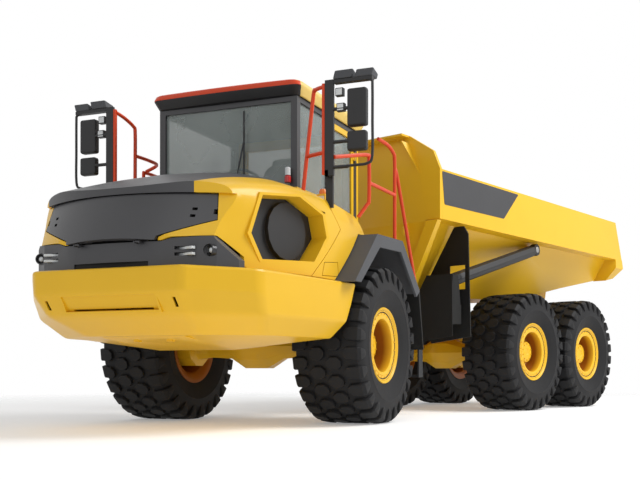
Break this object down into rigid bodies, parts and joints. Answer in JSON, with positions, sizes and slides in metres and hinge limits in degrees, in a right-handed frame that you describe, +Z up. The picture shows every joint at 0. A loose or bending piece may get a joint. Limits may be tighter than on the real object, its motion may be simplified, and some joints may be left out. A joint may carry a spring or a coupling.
{
  "type": "articulated dump truck",
  "caption": "Articulated dump truck: front unit with cab and tilting hood, hinged to a rear unit with bogie wheels and a tipping bed.",
  "frame": {"origin": "centre of the whole truck's outline on the ground, at the picture's articulation", "axes": "+X forward along the front unit, +Y to the driver's left, +Z up"},
  "size_m": [10.185, 4.7822, 3.4251],
  "materials": {
    "yellow_paint": "semi-gloss",
    "charcoal_paint": "satin",
    "chassis_paint": "satin",
    "cream_paint": "semi-gloss",
    "orange_paint": "semi-gloss",
    "black_plastic": "matte",
    "grey_plastic": "matte",
    "lamp_plastic": "gloss",
    "red_lamp": "gloss",
    "rubber": "matte",
    "tyre": "matte",
    "glass": "clear",
    "fabric": "matte",
    "chrome": "polished",
    "iron": "rough"
  },
  "bodies": {
    "front_unit": {"front_frame": "chassis_paint", "front_axle": "iron", "bumper": "yellow_paint", "belly_plate": "yellow_paint", "lamp_band": "charcoal_paint", "front_lamps": "lamp_plastic", "cooling_pack": "charcoal_paint", "engine": "iron", "cowl_top": "charcoal_paint", "cowl_sides": "yellow_paint", "fenders": "grey_plastic", "wheel_flaps": "rubber", "boarding_steps": "chassis_paint", "handrails": "orange_paint", "mirrors_left": "black_plastic", "mirrors_right": "black_plastic", "exhaust": "chassis_paint", "cab_floor": "yellow_paint", "cab_frame": "charcoal_paint", "cab_rear_wall": "yellow_paint", "cab_roof": "cream_paint", "cab_glass": "glass", "driver_seat": "fabric", "dashboard": "black_plastic"},
    "hood": {"hood_top": "charcoal_paint", "hood_sides": "yellow_paint", "fan_screens": "charcoal_paint"},
    "grille_step": {"grille": "charcoal_paint"},
    "cab_door": {"cab_door": "yellow_paint", "door_glass": "glass"},
    "hitch_unit": {"hitch": "yellow_paint"},
    "rear_unit": {"rear_frame": "yellow_paint", "bogie_beams": "yellow_paint", "bogie_axles": "iron", "splash_plates": "rubber", "tail_lamps": "red_lamp"},
    "bed": {"bed_floor": "yellow_paint", "bed_side_left": "yellow_paint", "bed_side_right": "yellow_paint", "bed_front_wall": "yellow_paint"},
    "wheel_front_left": {"tyre_front_left": "tyre", "rim_front_left": "yellow_paint"},
    "wheel_middle_left": {"tyre_middle_left": "tyre", "rim_middle_left": "yellow_paint"},
    "wheel_rear_left": {"tyre_rear_left": "tyre", "rim_rear_left": "yellow_paint"},
    "hoist_barrel_left": {"hoist_barrel_left": "charcoal_paint"},
    "hoist_rod_left": {"hoist_rod_left": "chrome"},
    "steering_barrel_left": {"steering_barrel_left": "charcoal_paint"},
    "steering_rod_left": {"steering_rod_left": "chrome"},
    "wheel_front_right": {"tyre_front_right": "tyre", "rim_front_right": "yellow_paint"},
    "wheel_middle_right": {"tyre_middle_right": "tyre", "rim_middle_right": "yellow_paint"},
    "wheel_rear_right": {"tyre_rear_right": "tyre", "rim_rear_right": "yellow_paint"},
    "hoist_barrel_right": {"hoist_barrel_right": "charcoal_paint"},
    "hoist_rod_right": {"hoist_rod_right": "chrome"},
    "steering_barrel_right": {"steering_barrel_right": "charcoal_paint"},
    "steering_rod_right": {"steering_rod_right": "chrome"}
  },
  "joints": [
    {"name": "steer", "type": "hinge", "parent": "front_unit", "child": "hitch_unit", "pos_m": [1.26253, -0.68214, 0.9971], "axis": [0, 0, 1], "range_deg": [-28.4, 61.6]},
    {"name": "roll", "type": "hinge", "parent": "hitch_unit", "child": "rear_unit", "pos_m": [0.78337, -0.5393, 0.9971], "axis": [0.9583, -0.2857, 0], "range_deg": [-8, 8]},
    {"name": "bed_tip", "type": "hinge", "parent": "rear_unit", "child": "bed", "pos_m": [-3.47158, 0.72916, 1.2771], "axis": [-0.2857, -0.9583, 0], "range_deg": [0, 70]},
    {"name": "hood_lift", "type": "hinge", "parent": "front_unit", "child": "hood", "pos_m": [3.37753, -0.68214, 2.4371], "axis": [0, -1, 0], "range_deg": [0, 80]},
    {"name": "grille_fold", "type": "hinge", "parent": "front_unit", "child": "grille_step", "pos_m": [5.06454, -0.68214, 1.5891], "axis": [0, 1, 0], "range_deg": [0, 110]},
    {"name": "door_swing", "type": "hinge", "parent": "front_unit", "child": "cab_door", "pos_m": [1.75754, 0.13086, 2.4971], "axis": [0, 0, 1], "range_deg": [0, 85]},
    {"name": "wheel_front_left_spin", "type": "hinge", "parent": "front_unit", "child": "wheel_front_left", "pos_m": [2.47254, 0.45786, 0.8021], "axis": [0, 1, 0], "continuous": true},
    {"name": "wheel_middle_left_spin", "type": "hinge", "parent": "rear_unit", "child": "wheel_middle_left", "pos_m": [-1.25321, 1.25741, 0.8021], "axis": [0.2857, 0.9583, 0], "continuous": true},
    {"name": "wheel_rear_left_spin", "type": "hinge", "parent": "rear_unit", "child": "wheel_rear_left", "pos_m": [-2.8536, 1.73451, 0.8021], "axis": [0.2857, 0.9583, 0], "continuous": true},
    {"name": "hoist_swing_left", "type": "hinge", "parent": "rear_unit", "child": "hoist_barrel_left", "pos_m": [0.47496, 0.84135, 1.6421], "axis": [0.2857, 0.9583, 0], "range_deg": [-0.5, 3.85]},
    {"name": "hoist_slide_left", "type": "slide", "parent": "hoist_barrel_left", "child": "hoist_rod_left", "axis": [-0.9227, 0.2751, 0.27], "range_m": [0, 2.0978]},
    {"name": "steer_swing_left", "type": "hinge", "parent": "front_unit", "child": "steering_barrel_left", "pos_m": [2.16254, -0.28214, 0.9971], "axis": [0, 0, 1], "range_deg": [-1.62, 2.93]},
    {"name": "steer_slide_left", "type": "slide", "parent": "steering_barrel_left", "child": "steering_rod_left", "axis": [-0.9958, -0.0918, 0], "range_m": [-0.1409, 0.3043]},
    {"name": "wheel_front_right_spin", "type": "hinge", "parent": "front_unit", "child": "wheel_front_right", "pos_m": [2.47254, -1.82214, 0.8021], "axis": [0, 1, 0], "continuous": true},
    {"name": "wheel_middle_right_spin", "type": "hinge", "parent": "rear_unit", "child": "wheel_middle_right", "pos_m": [-1.90458, -0.92757, 0.8021], "axis": [0.2857, 0.9583, 0], "continuous": true},
    {"name": "wheel_rear_right_spin", "type": "hinge", "parent": "rear_unit", "child": "wheel_rear_right", "pos_m": [-3.50497, -0.45047, 0.8021], "axis": [0.2857, 0.9583, 0], "continuous": true},
    {"name": "hoist_swing_right", "type": "hinge", "parent": "rear_unit", "child": "hoist_barrel_right", "pos_m": [-0.23069, -1.5257, 1.6421], "axis": [0.2857, 0.9583, 0], "range_deg": [-0.5, 3.85]},
    {"name": "hoist_slide_right", "type": "slide", "parent": "hoist_barrel_right", "child": "hoist_rod_right", "axis": [-0.9227, 0.2751, 0.27], "range_m": [0, 2.0978]},
    {"name": "steer_swing_right", "type": "hinge", "parent": "front_unit", "child": "steering_barrel_right", "pos_m": [2.16254, -1.08214, 0.9971], "axis": [0, 0, 1], "range_deg": [-1.62, 2.93]},
    {"name": "steer_slide_right", "type": "slide", "parent": "steering_barrel_right", "child": "steering_rod_right", "axis": [-0.9916, 0.1293, 0], "range_m": [-0.3043, 0.1409]}
  ],
  "couplings": [
    {"joint": "hoist_slide_left", "follows": "bed_tip", "m_per_rad": 1.7162},
    {"joint": "hoist_swing_left", "follows": "bed_tip", "ratio": 0.04779},
    {"joint": "steer_slide_left", "follows": "steer", "m_per_rad": 0.28215},
    {"joint": "steer_swing_left", "follows": "steer", "ratio": 0.03946},
    {"joint": "hoist_slide_right", "follows": "bed_tip", "m_per_rad": 1.7162},
    {"joint": "hoist_swing_right", "follows": "bed_tip", "ratio": 0.04779},
    {"joint": "steer_slide_right", "follows": "steer", "m_per_rad": -0.28215},
    {"joint": "steer_swing_right", "follows": "steer", "ratio": 0.03946}
  ]
}
